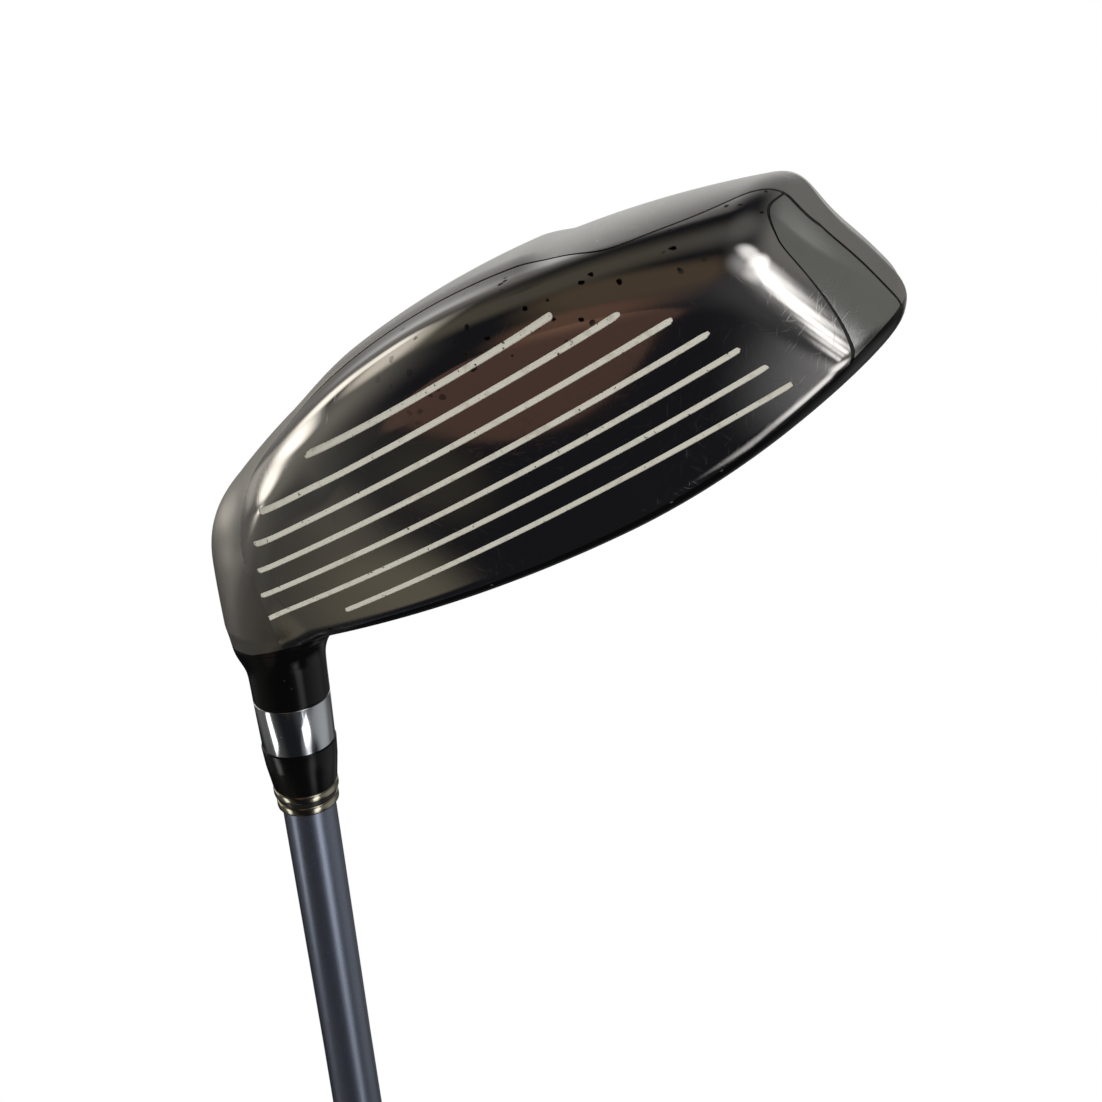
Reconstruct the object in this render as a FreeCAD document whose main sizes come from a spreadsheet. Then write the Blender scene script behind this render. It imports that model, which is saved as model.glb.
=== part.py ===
import FreeCAD, Part
import math
import os
import Sketcher

# Hybrid golf club, right-handed, soled at address.
# +Z is up, -Y is towards the target, -X is the toe and +X the heel. The origin is on the flat
# spot of the sole that rests on the ground. The axis of the shaft meets the ground at the
# shaft foot, further to the heel, and the head is laid out from that point.
# Lengths are in millimetres, angles in degrees.

doc = FreeCAD.newDocument("hybrid_golf_club")
Vector = FreeCAD.Vector

# ---------------------------------------------------------------- driving dimensions

DIMENSIONS = {
    # stance of the club
    "lie_angle": 62, "loft_angle": 19, "club_length": 1016, "shaft_foot_x": 35,
    # the striking face is part of one large sphere, its bulge and roll
    "face_radius": 275, "face_centre_x": -30.1, "face_centre_height": 15.6,
    "face_foot_y": -20.2, "face_foot_z": 4.6, "face_thickness": 3,
    "crown_thickness": 1.2, "wall_thickness": 1.8, "sole_thickness": 2.6,
    # score lines
    "score_pitch": 3.84, "score_first_height": 5.5, "score_width": 0.85,
    "score_depth": 0.4, "score_paint_low": 0.08,
    # painted seam line round the toe panel and along the sole
    "seam_width": 0.5, "seam_depth": 0.3, "crown_lap": 1.0,
    # the neck and its bore; a station is a distance from the origin along the shaft axis
    "neck_foot_station": 18, "neck_flare_station": 30, "neck_waist_station": 42,
    "neck_top_station": 46.7,
    "neck_foot_radius": 6.0, "neck_flare_radius": 8.2, "neck_waist_radius": 6.15,
    "neck_top_radius": 6.04, "bore_radius": 4.55,
    "neck_clearance": 0.1, "plug_length": 4, "tip_station": 22.4,
    # trim on the shaft above the neck
    "band_top_station": 55, "band_top_radius": 5.85,
    "ferrule_foot_radius": 6.02, "ferrule_shoulder_station": 58.4, "ferrule_shoulder_radius": 5.8,
    "ferrule_top_station": 62.9, "ferrule_top_radius": 5.2,
    "lower_ring_top_station": 64.4, "spacer_top_station": 65.2, "upper_ring_top_station": 66.8,
    "lower_ring_radius": 5.3, "spacer_radius": 4.9, "upper_ring_radius": 5.05,
    "trim_bore_radius": 4.4,
    # shaft
    "shaft_tip_radius": 4.37, "shaft_tip_bore_radius": 2.2, "shaft_butt_radius": 7.6,
    "shaft_butt_bore_radius": 6.4, "taper_start_station": 120, "taper_end_station": 740,
    "tip_weight_radius": 2.15, "tip_weight_length": 28, "tip_weight_depth": 1,
    # grip
    "grip_mouth_station": 744, "grip_mouth_radius": 8.9, "grip_lip_length": 4,
    "grip_step_length": 3,
    "grip_body_radius": 9.6, "grip_butt_radius": 12.9, "tape_thickness": 0.2,
    "tape_margin": 6, "cap_thickness": 6, "cap_radius": 13.5, "cap_edge_radius": 1.6,
    "cap_spigot_length": 8, "cap_spigot_radius": 6.3, "cap_hollow_radius": 5, "vent_radius": 1.6,
    # pieces inside the head
    "slug_x": -34, "slug_y": 27, "slug_length": 30, "slug_width": 12, "slug_thickness": 4.5,
    "pad_x": -40, "pad_y": 2, "pad_radius": 9, "pad_thickness": 1.5,
}

dims = doc.addObject("Spreadsheet::Sheet", "dims")
for row, (alias, value) in enumerate(DIMENSIONS.items(), start=1):
    dims.set("A%d" % row, alias)
    dims.set("B%d" % row, str(value))
    dims.setAlias("B%d" % row, alias)
doc.recompute()


def dim(alias):
    """Value of a driving dimension."""
    return float(dims.get(alias))


def place_on_shaft(piece, station):
    """Set a piece with its own +Z on the shaft axis, its base at a station of the sheet."""
    piece.Placement = FreeCAD.Placement(Vector(), FreeCAD.Rotation(Vector(0, 1, 0), 1))
    piece.setExpression("Placement.Base.x",
                        "dims.shaft_foot_x + (%s) * cos(dims.lie_angle * 1 deg)" % station)
    piece.setExpression("Placement.Base.z", "(%s) * sin(dims.lie_angle * 1 deg)" % station)
    piece.setExpression("Placement.Rotation.Angle", "90 - dims.lie_angle")


# ---------------------------------------------------------------- turned pieces

def sheet_value(expression):
    """Number that a sheet expression of sums and differences stands for."""
    total = 0.0
    sign = 1.0
    for word in expression.split():
        if word in "+-":
            sign = 1.0 if word == "+" else -1.0
        elif word.startswith("dims."):
            total += sign * dim(word[5:])
        else:
            total += sign * float(word)
    return total


def turned(name, base_station, profile):
    """Ring or sleeve turned about the shaft axis.

    profile lists its corners as (radius, station) expressions of the sheet. The first corner
    is at the base station, and no corner is on the axis.
    """
    body = doc.addObject("PartDesign::Body", name)
    sketch = body.newObject("Sketcher::SketchObject", name + "_profile")
    plane = [f for f in body.Origin.OriginFeatures if f.Role == "XZ_Plane"][0]
    sketch.AttachmentSupport = [(plane, "")]
    sketch.MapMode = "FlatFace"
    base = sheet_value(base_station)
    corners = [Vector(sheet_value(r), sheet_value(s) - base, 0) for r, s in profile]
    count = len(corners)
    for i in range(count):
        sketch.addGeometry(Part.LineSegment(corners[i], corners[(i + 1) % count]), False)
    for i in range(count):
        sketch.addConstraint(Sketcher.Constraint("Coincident", i, 2, (i + 1) % count, 1))
    for i, (radius, station) in enumerate(profile):
        x_rule = sketch.addConstraint(
            Sketcher.Constraint("DistanceX", -1, 1, i, 1, corners[i].x))
        sketch.setExpression("Constraints[%d]" % x_rule, radius)
        if station == base_station:
            sketch.addConstraint(Sketcher.Constraint("PointOnObject", i, 1, -1))
            continue
        y_rule = sketch.addConstraint(
            Sketcher.Constraint("DistanceY", -1, 1, i, 1, corners[i].y))
        sketch.setExpression("Constraints[%d]" % y_rule, "(%s) - (%s)" % (station, base_station))
    turn = body.newObject("PartDesign::Revolution", name + "_turned")
    turn.Profile = sketch
    turn.ReferenceAxis = (sketch, ["V_Axis"])
    turn.Angle = 360
    place_on_shaft(body, base_station)
    return body


NECK_FOOT = "dims.neck_foot_station"
NECK_TOP = "dims.neck_top_station"
BAND_TOP = "dims.band_top_station"
FERRULE_TOP = "dims.ferrule_top_station"
LOWER_RING_TOP = "dims.lower_ring_top_station"
SPACER_TOP = "dims.spacer_top_station"
UPPER_RING_TOP = "dims.upper_ring_top_station"
TIP = "dims.tip_station"
TAPER_START = "dims.taper_start_station"
TAPER_END = "dims.taper_end_station"
GRIP_MOUTH = "dims.grip_mouth_station"
CAP_FOOT = "dims.club_length - dims.cap_thickness"
TRIM_BORE = "dims.trim_bore_radius"
TAPE_FOOT = "dims.grip_mouth_station + dims.tape_margin"
TAPE_OUTSIDE = "dims.shaft_butt_radius + dims.tape_thickness"

neck_profile = [
    ("dims.bore_radius", NECK_FOOT),
    ("dims.neck_foot_radius", NECK_FOOT),
    ("dims.neck_foot_radius", "dims.neck_flare_station"),
    ("dims.neck_flare_radius", "dims.neck_flare_station"),
    ("dims.neck_waist_radius", "dims.neck_waist_station"),
    ("dims.neck_top_radius", NECK_TOP),
    ("dims.bore_radius", NECK_TOP),
]
hosel_neck = turned("hosel_neck", NECK_FOOT, neck_profile)

turned("hosel_band", NECK_TOP, [
    (TRIM_BORE, NECK_TOP),
    ("dims.neck_top_radius", NECK_TOP),
    ("dims.band_top_radius", BAND_TOP),
    (TRIM_BORE, BAND_TOP),
])
turned("ferrule", BAND_TOP, [
    (TRIM_BORE, BAND_TOP),
    ("dims.ferrule_foot_radius", BAND_TOP),
    ("dims.ferrule_shoulder_radius", "dims.ferrule_shoulder_station"),
    ("dims.ferrule_top_radius", FERRULE_TOP),
    (TRIM_BORE, FERRULE_TOP),
])


def trim_ring(name, base_station, top_station, radius):
    """Plain ring on the shaft between two stations."""
    corners = [(TRIM_BORE, base_station), (radius, base_station),
               (radius, top_station), (TRIM_BORE, top_station)]
    return turned(name, base_station, corners)


trim_ring("lower_trim_ring", FERRULE_TOP, LOWER_RING_TOP, "dims.lower_ring_radius")
trim_ring("ring_spacer", LOWER_RING_TOP, SPACER_TOP, "dims.spacer_radius")
trim_ring("upper_trim_ring", SPACER_TOP, UPPER_RING_TOP, "dims.upper_ring_radius")

turned("epoxy_bond", TIP, [
    ("dims.shaft_tip_radius", TIP),
    ("dims.bore_radius", TIP),
    ("dims.bore_radius", NECK_TOP),
    ("dims.shaft_tip_radius", NECK_TOP),
])
turned("shaft", TIP, [
    ("dims.shaft_tip_bore_radius", TIP),
    ("dims.shaft_tip_radius", TIP),
    ("dims.shaft_tip_radius", TAPER_START),
    ("dims.shaft_butt_radius", TAPER_END),
    ("dims.shaft_butt_radius", CAP_FOOT),
    ("dims.shaft_butt_bore_radius", CAP_FOOT),
    ("dims.shaft_butt_bore_radius", TAPER_END),
    ("dims.shaft_tip_bore_radius", TAPER_START),
])
turned("grip_tape", TAPE_FOOT, [
    ("dims.shaft_butt_radius", TAPE_FOOT),
    (TAPE_OUTSIDE, TAPE_FOOT),
    (TAPE_OUTSIDE, CAP_FOOT),
    ("dims.shaft_butt_radius", CAP_FOOT),
])
turned("grip", GRIP_MOUTH, [
    ("dims.shaft_butt_radius", GRIP_MOUTH),
    ("dims.grip_mouth_radius", GRIP_MOUTH),
    ("dims.grip_mouth_radius", "dims.grip_mouth_station + dims.grip_lip_length"),
    ("dims.grip_body_radius",
     "dims.grip_mouth_station + dims.grip_lip_length + dims.grip_step_length"),
    ("dims.grip_butt_radius", CAP_FOOT),
    (TAPE_OUTSIDE, CAP_FOOT),
    (TAPE_OUTSIDE, TAPE_FOOT),
    ("dims.shaft_butt_radius", TAPE_FOOT),
])
CAP_TOP = "dims.club_length"
SPIGOT_FOOT = "dims.club_length - dims.cap_thickness - dims.cap_spigot_length"
turned("grip_cap", SPIGOT_FOOT, [
    ("dims.cap_hollow_radius", SPIGOT_FOOT),
    ("dims.cap_spigot_radius", SPIGOT_FOOT),
    ("dims.cap_spigot_radius", CAP_FOOT),
    ("dims.cap_radius", CAP_FOOT),
    ("dims.cap_radius", "dims.club_length - dims.cap_edge_radius"),
    ("dims.cap_radius - dims.cap_edge_radius", CAP_TOP),
    ("dims.vent_radius", CAP_TOP),
    ("dims.vent_radius", CAP_FOOT),
    ("dims.cap_hollow_radius", CAP_FOOT),
])


# ---------------------------------------------------------------- plain round plugs

def round_plug(name, station, radius, length):
    """Solid cylinder on the shaft axis."""
    plug = doc.addObject("Part::Cylinder", name)
    plug.setExpression("Radius", radius)
    plug.setExpression("Height", length)
    place_on_shaft(plug, station)
    return plug


round_plug("hosel_plug", NECK_FOOT, "dims.bore_radius", "dims.plug_length")
round_plug("tip_weight", "dims.tip_station + dims.tip_weight_depth", "dims.tip_weight_radius",
           "dims.tip_weight_length")
doc.recompute()

# ---------------------------------------------------------------- head: guide curves

# Heights along the face (from its foot), and heights above the ground, against x.
FACE_TOP_EDGE = [(-92, 25.5), (-80, 28.7), (-66, 32.4), (-48, 35.1), (-30, 35.6),
                 (-8, 34.1), (12, 31.5), (28, 28.6)]
FACE_LOW_EDGE = [(-92, 15.0), (-80, 12.0), (-66, 7.8), (-56, 4.0), (-44, 0.8), (-30, 1.2),
                 (-12, 5.0), (0, 9.6), (12, 20.4), (28, 27.2)]
KEEL = [(-92, 13.0), (-80, 9.0), (-66, 4.8), (-54, 2.6), (-45, 0.1), (-31, -0.3), (-17, 0.8),
        (0, 4.0), (12, 8.2), (28, 13.6)]
HEAD_STATIONS = [-92, -80, -68, -56, -46, -36, -24, -12, 0, 10, 19, 28]


def guide(points):
    """Smooth height-against-x function through a few points (cubic between neighbours)."""
    xs = [p[0] for p in points]
    ys = [p[1] for p in points]
    last = len(points) - 1
    steps = [(ys[i + 1] - ys[i]) / (xs[i + 1] - xs[i]) for i in range(last)]
    slopes = [steps[0]] + [(steps[i] + steps[i + 1]) / 2 for i in range(last - 1)] + [steps[-1]]

    def value(x):
        i = max(k for k in range(last) if k == 0 or xs[k] <= x)
        width = xs[i + 1] - xs[i]
        t = (x - xs[i]) / width
        start = ys[i] * (1 + 2 * t) + slopes[i] * width * t
        end = ys[i + 1] * (3 - 2 * t) + slopes[i + 1] * width * (t - 1)
        return start * (1 - t) ** 2 + end * t ** 2

    return value


face_top_height = guide(FACE_TOP_EDGE)
face_low_height = guide(FACE_LOW_EDGE)
keel_height = guide(KEEL)

LOFT = math.radians(dim("loft_angle"))
FACE_RADIUS = dim("face_radius")
FACE_UP = Vector(0, math.sin(LOFT), math.cos(LOFT))
FACE_OUT = Vector(0, -math.cos(LOFT), math.sin(LOFT))
FACE_FOOT = Vector(dim("face_centre_x"), dim("face_foot_y"), dim("face_foot_z"))
FACE_CENTRE = FACE_FOOT + FACE_UP * dim("face_centre_height")
SPHERE_CENTRE = FACE_CENTRE - FACE_OUT * FACE_RADIUS


def face_point(x, height, inset=0.0):
    """Point of the striking face at x and a height along the face."""
    across = x - FACE_CENTRE.x
    up = height - dim("face_centre_height")
    radius = FACE_RADIUS - inset
    sag = radius - math.sqrt(radius ** 2 - across ** 2 - up ** 2)
    flat = Vector(x, 0, 0) + Vector(0, FACE_FOOT.y, FACE_FOOT.z) + FACE_UP * height
    return flat - FACE_OUT * (sag + inset)


# ---------------------------------------------------------------- head: blank and cavity

REAR_Y = 46.0
# The crown behind the face: distance behind its top edge, and rise as a share of the
# section's height. It ends at REAR_Y.
CROWN_LINE = [(10, 0.0525), (22, 0.0385), (36, -0.1428)]
CROWN_END = -0.34
# The sole from the back forwards: y and rise as a share of the section's height.
SOLE_LINE = [(REAR_Y, 0.33), (27, 0.0792), (6, 0.0)]
# Its turn up to the leading edge: distance behind the edge and share of the edge's height.
SOLE_TURN = [(10, 0.10), (3, 0.47)]
# Direction of the sole where it starts at the back.
SOLE_START = Vector(0, -1, -0.6)
# Toe, heel and back of the wall at one level, and how far each leans out per millimetre up.
WALL_LEVEL = 18.0
WALL_TOE_X = -83.2
WALL_HEEL_X = 21.0
WALL_REAR_Y = 37.0
WALL_TOE_LEAN = 0.27
WALL_HEEL_LEAN = 0.36
WALL_REAR_LEAN = 0.15
# Heights between which the wall is lofted, and where the outline closes in front of the face.
WALL_FOOT_Z = -4.0
WALL_HEAD_Z = 48.0
OUTLINE_FRONT_Y = -34.0
# Outline points: steps in from the toe, the back and the heel, each with its y or x.
TOE_CORNER = [(0, 8), (6, 22)]
BACK_ARC = [(-60, 4), (-36, 0), (-12, 5)]
HEEL_CORNER = [(4, 10), (0, 1), (2.6, -5), (7.5, -11)]
HEEL_REAR_STEP = (16, 14)
TOE_FRONT_STEP = 16.0
HEEL_FRONT_STEP = 24.0
OUTLINE_START = Vector(-0.15, 1, 0)
OUTLINE_END = Vector(-0.6, -1, 0)


def curve(points, start=None, end=None):
    """Spline edge through points, with directions at its ends where they are given."""
    spline = Part.BSplineCurve()
    if start is None:
        spline.interpolate(points)
    else:
        spline.interpolate(Points=points, InitialTangent=start, FinalTangent=end)
    return spline.toShape()


def head_section(x, inset_face, inset_crown, inset_sole):
    """Closed fore-and-aft section of the head at x: face, crown, back and sole."""
    low = face_low_height(x)
    top = face_top_height(x)
    edge = face_point(x, top)
    keel = keel_height(x)
    height = edge.z - keel
    ceiling = edge.z - inset_crown
    floor = keel + inset_sole
    corner = face_point(x, top, inset_face)
    corner.z = ceiling
    foot = face_point(x, low + 0.5 * inset_sole, inset_face)
    middle = face_point(x, (low + top) / 2, inset_face)
    crown = [corner]
    for behind, rise in CROWN_LINE:
        crown.append(Vector(x, edge.y + behind, ceiling + rise * height))
    crown.append(Vector(x, REAR_Y, ceiling + CROWN_END * height))
    sole = [Vector(x, y, floor + rise * height) for y, rise in SOLE_LINE]
    for behind, share in SOLE_TURN:
        sole.append(Vector(x, foot.y + behind, floor + share * (foot.z - floor)))
    sole.append(foot)
    up_face = (middle - foot).normalize()
    edges = [
        curve([foot, middle, corner]),
        curve(crown),
        Part.makeLine(crown[-1], sole[0]),
        curve(sole, SOLE_START, up_face),
    ]
    return Part.Wire(edges)


def plan_outline(z, inset):
    """D-shaped plan outline of the head at height z: toe wall, rounded back and heel."""
    rise = z - WALL_LEVEL
    toe = WALL_TOE_X - WALL_TOE_LEAN * rise + inset
    heel = WALL_HEEL_X + WALL_HEEL_LEAN * rise - inset
    rear = WALL_REAR_Y + WALL_REAR_LEAN * rise - inset
    toe_front = Vector(toe + TOE_FRONT_STEP, OUTLINE_FRONT_Y, z)
    back = [Vector(toe + step, y, z) for step, y in TOE_CORNER]
    back += [Vector(x, rear - step, z) for x, step in BACK_ARC]
    back.append(Vector(heel - HEEL_REAR_STEP[0], rear - HEEL_REAR_STEP[1], z))
    back += [Vector(heel - step, y, z) for step, y in HEEL_CORNER]
    back.append(Vector(heel - HEEL_FRONT_STEP, OUTLINE_FRONT_Y, z))
    edges = [
        Part.makeLine(toe_front, back[0]),
        curve(back, OUTLINE_START, OUTLINE_END),
        Part.makeLine(back[-1], toe_front),
    ]
    return Part.Wire(edges)


def head_solid(inset_face=0.0, inset_crown=0.0, inset_sole=0.0, inset_wall=0.0):
    """Solid head, or with insets the space inside it."""
    sections = [head_section(x, inset_face, inset_crown, inset_sole) for x in HEAD_STATIONS]
    blank = Part.makeLoft(sections, True, False)
    outlines = [plan_outline(z, inset_wall) for z in (WALL_FOOT_Z, WALL_HEAD_Z)]
    plan = Part.makeLoft(outlines, True, True)
    solid = blank.common(plan)
    return solid.Solids[0]


def slab_loft(section_points):
    """Ruled solid through polygon sections, one per head station."""
    wires = []
    for x in HEAD_STATIONS:
        corners = section_points(x)
        wires.append(Part.makePolygon(corners + corners[:1]))
    return Part.makeLoft(wires, True, True)


# Beyond every face of the head.
FAR = 90.0
# The face cup reaches this far behind the face: at the sole, at the sole's toe end past
# TOE_END_X, and at the crown.
CUP_DEPTH_SOLE = 9.0
CUP_DEPTH_TOE = 5.0
CUP_DEPTH_CROWN = 3.2
TOE_END_X = -70
# The cut between cup and body passes these points below and above the face.
CUT_BELOW_FACE = 8
CUT_ABOVE_FACE = 2
CUT_OVERRUN = 20
# The crown's seam: it falls to the back by this share of the section's height.
CROWN_SEAM_FALL = 0.42
CROWN_SEAM_REAR_Y = 38.0
CROWN_SEAM_BEHIND_EDGE = 1.5


def front_region(x, shift=0.0):
    """Section of the space in front of the seam between face cup and body."""
    low = face_point(x, face_low_height(x))
    top = face_point(x, face_top_height(x))
    cup_depth = CUP_DEPTH_SOLE if x > TOE_END_X else CUP_DEPTH_TOE
    foot = Vector(x, low.y + cup_depth + shift, low.z - CUT_BELOW_FACE)
    head = Vector(x, top.y + CUP_DEPTH_CROWN + shift, top.z + CUT_ABOVE_FACE)
    lean = (head - foot) * (1 / (head.z - foot.z))
    bottom = foot - lean * (foot.z + CUT_OVERRUN)
    upper = head + lean * CUT_OVERRUN
    return [bottom, upper, Vector(x, -FAR, upper.z), Vector(x, -FAR, bottom.z)]


def crown_region(x):
    """Section of the space above the seam between crown and the rest of the head."""
    top = face_point(x, face_top_height(x))
    front_z = top.z - dim("crown_lap")
    back_z = front_z - CROWN_SEAM_FALL * (top.z - keel_height(x))
    return [Vector(x, -FAR, front_z), Vector(x, top.y + CROWN_SEAM_BEHIND_EDGE, front_z),
            Vector(x, CROWN_SEAM_REAR_Y, back_z), Vector(x, FAR, back_z),
            Vector(x, FAR, FAR), Vector(x, -FAR, FAR)]


def axis_cylinder(radius, start, end):
    """Cylinder on the shaft axis between two stations, from the shaft foot."""
    lie = math.radians(dim("lie_angle"))
    along = Vector(math.cos(lie), 0, math.sin(lie))
    return Part.makeCylinder(radius, end - start, along * start, along)


def biggest_solid(shape):
    """The largest solid of a cut, without the slivers."""
    return sorted(shape.Solids, key=lambda solid: solid.Volume)[-1]


ground = Part.makeBox(4 * FAR, 4 * FAR, FAR, Vector(-2 * FAR, -2 * FAR, -FAR))
outside = head_solid().cut(ground)
cavity = head_solid(dim("face_thickness"), dim("crown_thickness"), dim("sole_thickness"),
                    dim("wall_thickness"))
neck_space = axis_cylinder(dim("bore_radius") + dim("neck_clearance"),
                           dim("neck_foot_station"), dim("neck_top_station"))
neck_outside = hosel_neck.Shape.copy()
neck_outside.translate(Vector(-dim("shaft_foot_x"), 0, 0))
neck_space = neck_space.fuse(neck_outside)
shell = outside.cut(cavity).cut(neck_space)
front_space = slab_loft(front_region)
crown_space = slab_loft(crown_region)


# ---------------------------------------------------------------- head: score lines

# Heel and toe ends of the score lines, from the sole up.
SCORE_ENDS = [(-14.4, -51.5), (-3.0, -58.2), (1.6, -62.9), (4.5, -65.6), (7.7, -67.7),
              (10.2, -69.4), (-1.9, -70.8)]
# The slots are cut from this far in front of the face's plane to as far behind it.
REACH = 12.0


def score_slot(index):
    """Long round-ended prism through the face at one score line."""
    heel_x, toe_x = SCORE_ENDS[index]
    height = dim("score_first_height") + index * dim("score_pitch")
    radius = dim("score_width") / 2
    base = FACE_FOOT + FACE_UP * height - FACE_OUT * REACH
    toe = Vector(toe_x + radius, base.y, base.z)
    heel = Vector(heel_x - radius, base.y, base.z)
    across = FACE_UP * radius
    end_reach = Vector(radius, 0, 0)
    outline = Part.Wire([
        Part.makeLine(toe - across, heel - across),
        Part.Arc(heel - across, heel + end_reach, heel + across).toShape(),
        Part.makeLine(heel + across, toe + across),
        Part.Arc(toe + across, toe - end_reach, toe - across).toShape(),
    ])
    return Part.Face(outline).extrude(FACE_OUT * 2 * REACH)


def face_ball(inset):
    """Ball that the face lies on, sunk below the face by inset."""
    return Part.makeSphere(FACE_RADIUS - inset, SPHERE_CENTRE)


slots = Part.makeCompound([score_slot(i) for i in range(len(SCORE_ENDS))])
slot_cuts = slots.cut(face_ball(dim("score_depth")))
score_paint = slot_cuts.common(face_ball(dim("score_paint_low")))

# ---------------------------------------------------------------- head: pieces

skin = outside.cut(head_solid(dim("seam_depth"), dim("seam_depth"), dim("seam_depth"),
                              dim("seam_depth")))
seam_slab = slab_loft(lambda x: front_region(x, dim("seam_width"))).cut(front_space)
seam_paint = skin.common(seam_slab).cut(crown_space)

crown = biggest_solid(shell.common(crown_space))
face_cup = biggest_solid(shell.common(front_space).cut(crown_space).cut(slot_cuts))
body = biggest_solid(shell.cut(front_space).cut(crown_space).cut(seam_paint))

slug_height = dim("sole_thickness") + keel_height(dim("slug_x")) + 2 * dim("slug_thickness")
slug_block = Part.makeBox(dim("slug_length"), dim("slug_width"), slug_height,
                          Vector(dim("slug_x") - dim("slug_length") / 2,
                                 dim("slug_y") - dim("slug_width") / 2, 0))
rear_slug = biggest_solid(cavity.common(slug_block))

pad_column = Part.makeCylinder(dim("pad_radius"), FAR / 2, Vector(dim("pad_x"), dim("pad_y"), 0))
pad_top = Part.makeBox(FAR, FAR, FAR, Vector(dim("pad_x") - FAR / 2, dim("pad_y") - FAR / 2,
                                             dim("sole_thickness") + dim("pad_thickness")))
melt_pad = biggest_solid(cavity.common(pad_column).cut(pad_top))


def add_shape(name, shape):
    """Freeform piece of the head, moved from the shaft foot's frame to the origin's."""
    piece = doc.addObject("Part::Feature", name)
    piece.Shape = shape
    piece.Placement = FreeCAD.Placement(Vector(dim("shaft_foot_x"), 0, 0), FreeCAD.Rotation())
    return piece


add_shape("face_cup", face_cup)
add_shape("crown_plate", crown)
add_shape("body_shell", body)
add_shape("score_line_paint", score_paint)
add_shape("seam_paint", seam_paint)
add_shape("rear_weight", rear_slug)
add_shape("hot_melt_pad", melt_pad)
doc.recompute()

# ---------------------------------------------------------------- checks and export

NODES = [
    "body_shell", "face_cup", "score_line_paint", "crown_plate", "seam_paint", "rear_weight",
    "hot_melt_pad", "hosel_neck", "hosel_plug", "epoxy_bond", "tip_weight", "hosel_band",
    "ferrule", "lower_trim_ring", "ring_spacer", "upper_trim_ring", "shaft", "grip_tape",
    "grip", "grip_cap",
]

for item in doc.Objects:
    if "Invalid" in item.State or "Error" in item.State:
        raise RuntimeError("%s failed to compute" % item.Name)

os.makedirs("parts", exist_ok=True)
for node in NODES:
    piece = doc.getObject(node)
    if piece.Shape.isNull() or not piece.Shape.isValid() or not piece.Shape.Solids:
        raise RuntimeError("%s has no valid solid" % node)
    piece.Label = node
    piece.Shape.exportStep("parts/%s.step" % node)
    print("%-18s %d solid(s) %9.1f mm3" % (node, len(piece.Shape.Solids), piece.Shape.Volume))
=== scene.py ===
import math

import bpy
import numpy as np
from mathutils import Matrix, Vector


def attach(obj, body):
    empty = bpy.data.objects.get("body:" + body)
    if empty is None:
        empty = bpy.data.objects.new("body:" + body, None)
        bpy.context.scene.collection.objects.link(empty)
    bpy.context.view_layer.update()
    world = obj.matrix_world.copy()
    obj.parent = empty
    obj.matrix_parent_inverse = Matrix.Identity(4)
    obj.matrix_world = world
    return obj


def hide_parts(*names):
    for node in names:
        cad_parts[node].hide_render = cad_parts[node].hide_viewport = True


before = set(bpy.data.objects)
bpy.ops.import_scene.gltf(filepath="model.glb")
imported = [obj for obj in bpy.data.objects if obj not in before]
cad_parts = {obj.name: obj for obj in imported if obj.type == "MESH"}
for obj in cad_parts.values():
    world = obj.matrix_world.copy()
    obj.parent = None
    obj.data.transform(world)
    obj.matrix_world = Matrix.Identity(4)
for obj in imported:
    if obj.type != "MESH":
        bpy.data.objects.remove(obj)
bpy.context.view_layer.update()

# ---------------------------------------------------------------- shared sizes
# Shapes are written in millimetres about the foot of the shaft axis: X towards the heel,
# Y towards the back, Z up.  MM and SHAFT_FOOT take them into the row frame.
MM = 0.001
SHAFT_FOOT = np.array([35.0, 0.0, 0.0])
LIE = math.radians(62)
LOFT = math.radians(19)
SHAFT_AXIS = np.array([math.cos(LIE), 0.0, math.sin(LIE)])
AXIS_SIDE = np.array([-math.sin(LIE), 0.0, math.cos(LIE)])
AXIS_BACK = np.array([0.0, 1.0, 0.0])

# The face is part of a ball: bulged from heel to toe and rolled from sole to crown.
FACE_RADIUS = 275.0
FACE_UP = np.array([0.0, math.sin(LOFT), math.cos(LOFT)])
FACE_OUT = np.array([0.0, -math.cos(LOFT), math.sin(LOFT)])
FACE_FOOT = np.array([-30.1, -20.2, 4.6])
FACE_CENTRE_HEIGHT = 15.6
FACE_BALL_CENTRE = FACE_FOOT + FACE_UP * FACE_CENTRE_HEIGHT - FACE_OUT * FACE_RADIUS

# In what follows a BEND is a length squared over the height it falls or rises by, and a
# pair of X, Y or Z values is where something begins and where it is complete.

# The sole: a bowl, lowest at SOLE_LOW_X and SOLE_LOW_Y, with a low flat keel.
SOLE_LOW_X = -33.0
SOLE_LOW_Y = 6.0
SOLE_BEND = 256.0
SOLE_BED = 0.35
SOLE_FORE_MIDDLE = 0.0055
SOLE_FORE_ENDS = 0.0085
SOLE_FORE_CENTRE_X = -36.0
SOLE_FORE_REACH = 33.0
SOLE_AFT = 0.0085
KEEL_DEPTH = 0.75
KEEL_TOE_X = (-53.5, -48.5)
KEEL_HEEL_X = (-20.0, -6.0)
KEEL_FRONT_Y = (-13.0, -6.0)
KEEL_BACK_Y = (14.0, 26.0)

# The skirt: two half ellipses that meet at BACK_CENTRE_X. TOE, HEEL and DEPTH are their
# half axes at BACK_LEVEL and how much these grow with height.
BACK_CENTRE_X = -31.0
BACK_CENTRE_Y = -3.0
BACK_LEVEL = 18.0
BACK_TOE = (59.0, 0.3)
BACK_HEEL = (52.6, 0.35)
BACK_DEPTH = (40.5, 0.16)

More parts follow.
